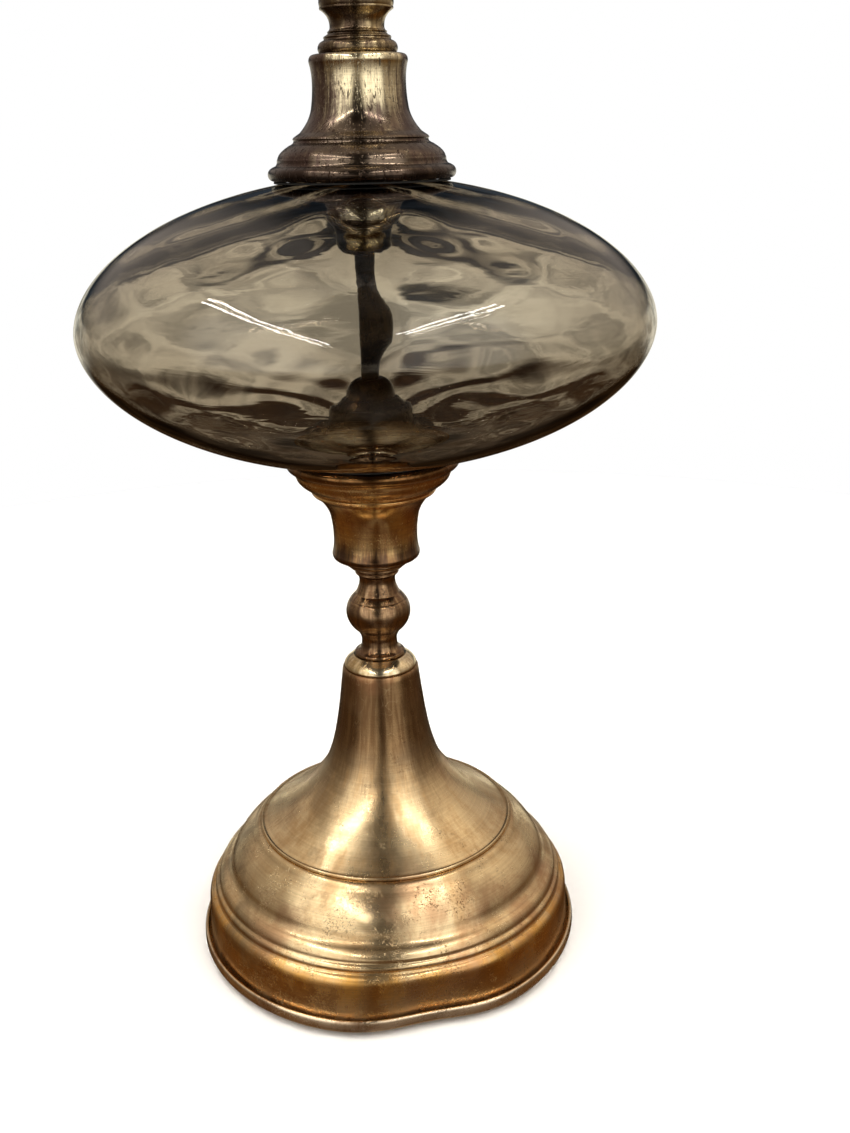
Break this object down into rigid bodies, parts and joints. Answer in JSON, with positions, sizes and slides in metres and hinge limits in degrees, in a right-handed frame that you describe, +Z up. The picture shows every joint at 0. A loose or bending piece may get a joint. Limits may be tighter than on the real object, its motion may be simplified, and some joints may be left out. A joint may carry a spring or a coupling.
{
  "type": "table lamp",
  "caption": "Table lamp with a spun brass base, turned brass column, flattened smoked glass globe strung on a threaded pipe, and a lampholder with a turn-knob switch.",
  "frame": {"origin": "On the pipe's axis, in the plane of the felt's underside", "axes": "+Z up along the pipe; -Y towards the viewer of the picture; +X to the viewer's right, where the switch knob points; +Y to the cord inlet at the back"},
  "size_m": [0.3048, 0.3048, 0.636],
  "materials": {
    "green_felt": "dense felt",
    "rim_brass": "rolled rim, brown patina",
    "cast_iron": "raw casting",
    "spun_brass": "satin, aged, fine spinning marks",
    "bright_brass": "polished, lightly aged",
    "aged_brass": "orange-brown patina",
    "dark_brass": "dark brown patina, worn and pitted",
    "socket_brass": "satin lacquered",
    "plated_steel": "zinc plated",
    "aluminium_shell": "rolled thread shell",
    "black_plastic": "moulded phenolic",
    "black_rubber": "moulded ring",
    "insulating_card": "fibre sleeve",
    "smoked_glass": "smoke grey-brown, optic-blown, clear gloss"
  },
  "bodies": {
    "lamp": {"felt_pad": "green_felt", "base_pan": "rim_brass", "base_weight": "cast_iron", "base_dome": "spun_brass", "base_trumpet": "spun_brass", "cord_bushing": "black_plastic", "lock_washer": "plated_steel", "base_nut": "plated_steel", "trumpet_collar": "bright_brass", "lower_spindle": "aged_brass", "lower_seat_ring": "aged_brass", "lower_bell": "aged_brass", "lower_gasket": "black_rubber", "glass_globe": "smoked_glass", "upper_gasket": "black_rubber", "upper_bell": "dark_brass", "upper_seat_ring": "dark_brass", "upper_spindle": "dark_brass", "lower_inner_cup": "aged_brass", "lower_inner_cap": "aged_brass", "upper_inner_cup": "dark_brass", "upper_inner_washer": "dark_brass", "upper_inner_spacer": "dark_brass", "upper_inner_disc": "bright_brass", "lamp_pipe": "plated_steel", "top_cap": "dark_brass", "top_nut": "bright_brass", "socket_cap": "socket_brass", "socket_set_screw": "plated_steel", "socket_body": "black_plastic", "socket_liner": "insulating_card", "socket_shell": "socket_brass", "screw_shell": "aluminium_shell", "centre_contact": "bright_brass", "terminal_screw_left": "bright_brass", "terminal_screw_right": "bright_brass"},
    "switch": {"switch_stem": "bright_brass", "switch_knob": "black_plastic"}
  },
  "joints": [
    {"name": "switch_turn", "type": "hinge", "parent": "lamp", "child": "switch", "pos_m": [0.02, 0, 0.597], "axis": [1, 0, 0], "continuous": true}
  ]
}
